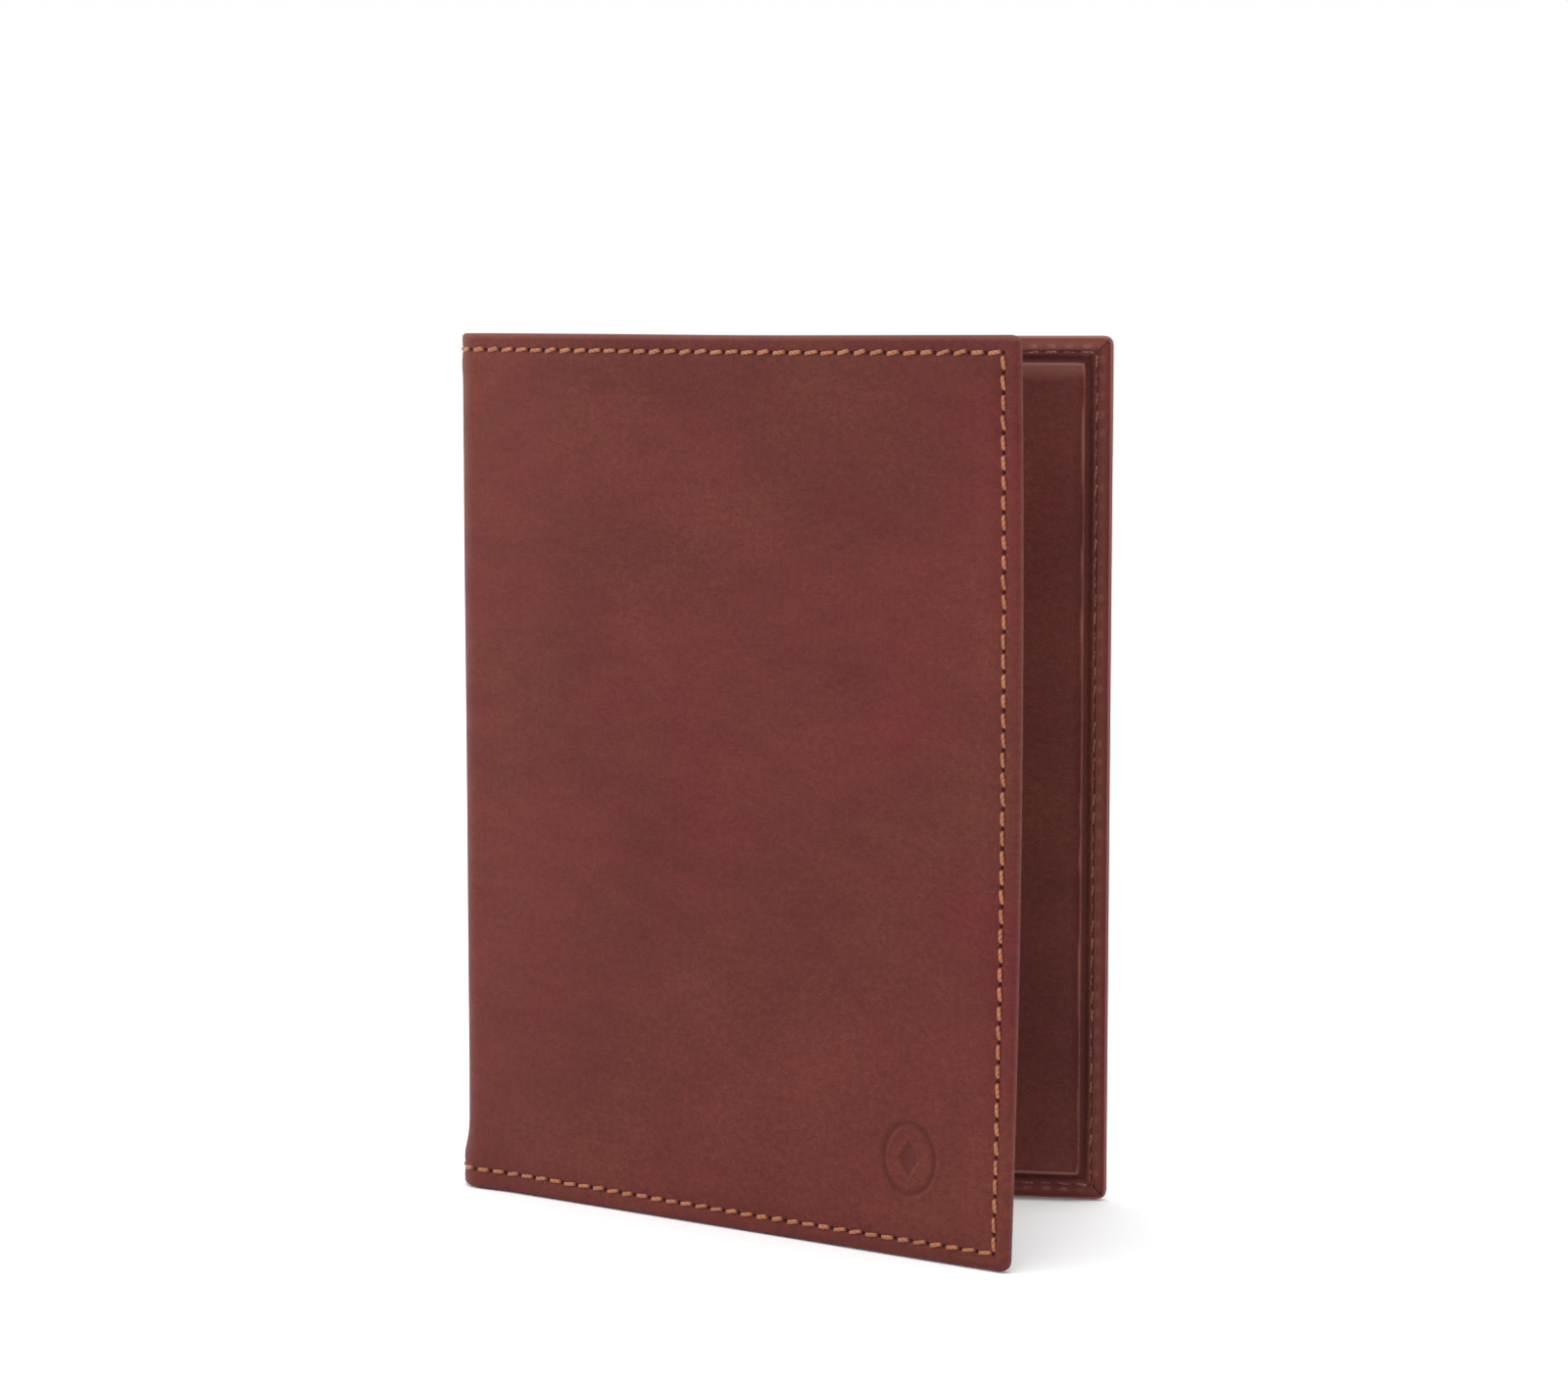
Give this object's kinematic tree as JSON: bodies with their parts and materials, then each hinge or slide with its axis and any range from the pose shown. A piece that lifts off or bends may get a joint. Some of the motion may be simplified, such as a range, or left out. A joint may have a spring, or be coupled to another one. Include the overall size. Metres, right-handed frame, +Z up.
{
  "type": "passport holder",
  "caption": "Bifold leather passport holder standing ajar, with a folding spine, a passport pocket, a document pocket and card pockets, all seams stitched.",
  "frame": {"origin": "middle of the box round the standing holder, on the surface that its lower edges stand on", "axes": "+Z up along the spine and the free edges; +X along the back cover from the spine to its free edge; +Y out of the back cover's outer face; the front cover swings out towards -Y"},
  "size_m": [0.1054, 0.0508, 0.14],
  "materials": {
    "cover_leather": "smooth red-brown leather with a soft satin finish and a fine grain",
    "pocket_leather": "the same leather, thinner and matter, used for the pockets",
    "lining": "fine dark brown woven twill",
    "board": "bonded leather fibre board, hidden",
    "thread_outer": "waxed tan thread",
    "thread_inner": "brown bobbin thread"
  },
  "bodies": {
    "back_cover": {"back_outer_leather": "cover_leather", "back_board": "board", "back_lining": "lining", "passport_pocket_panel": "pocket_leather", "passport_pocket_facing": "lining", "passport_mouth_stitches": "thread_inner", "back_outer_stitches": "thread_outer", "back_inner_stitches": "thread_inner"},
    "spine": {"spine_outer_leather": "cover_leather", "spine_stay": "lining", "spine_lining": "lining", "spine_outer_stitches": "thread_outer"},
    "front_cover": {"front_outer_leather": "cover_leather", "front_board": "board", "front_lining": "lining", "document_pocket_backing": "lining", "front_upper_panel": "pocket_leather", "card_side_stitches": "thread_inner", "front_outer_stitches": "thread_outer", "front_inner_stitches": "thread_inner", "card_pocket_1": "pocket_leather", "card_pocket_2": "pocket_leather", "card_pocket_3": "pocket_leather", "card_pocket_tail_1": "lining", "card_pocket_tail_2": "lining"}
  },
  "joints": [
    {"name": "back_fold", "type": "hinge", "parent": "back_cover", "child": "spine", "pos_m": [-0.05092, 0.02439, 0.07], "axis": [0, 0, -1], "range_deg": [-12.25, 77.75]},
    {"name": "front_fold", "type": "hinge", "parent": "spine", "child": "front_cover", "pos_m": [-0.05225, 0.01825, 0.07], "axis": [0, 0, -1], "range_deg": [-12.25, 77.75]}
  ],
  "couplings": [
    {"joint": "front_fold", "follows": "back_fold", "ratio": 1}
  ]
}
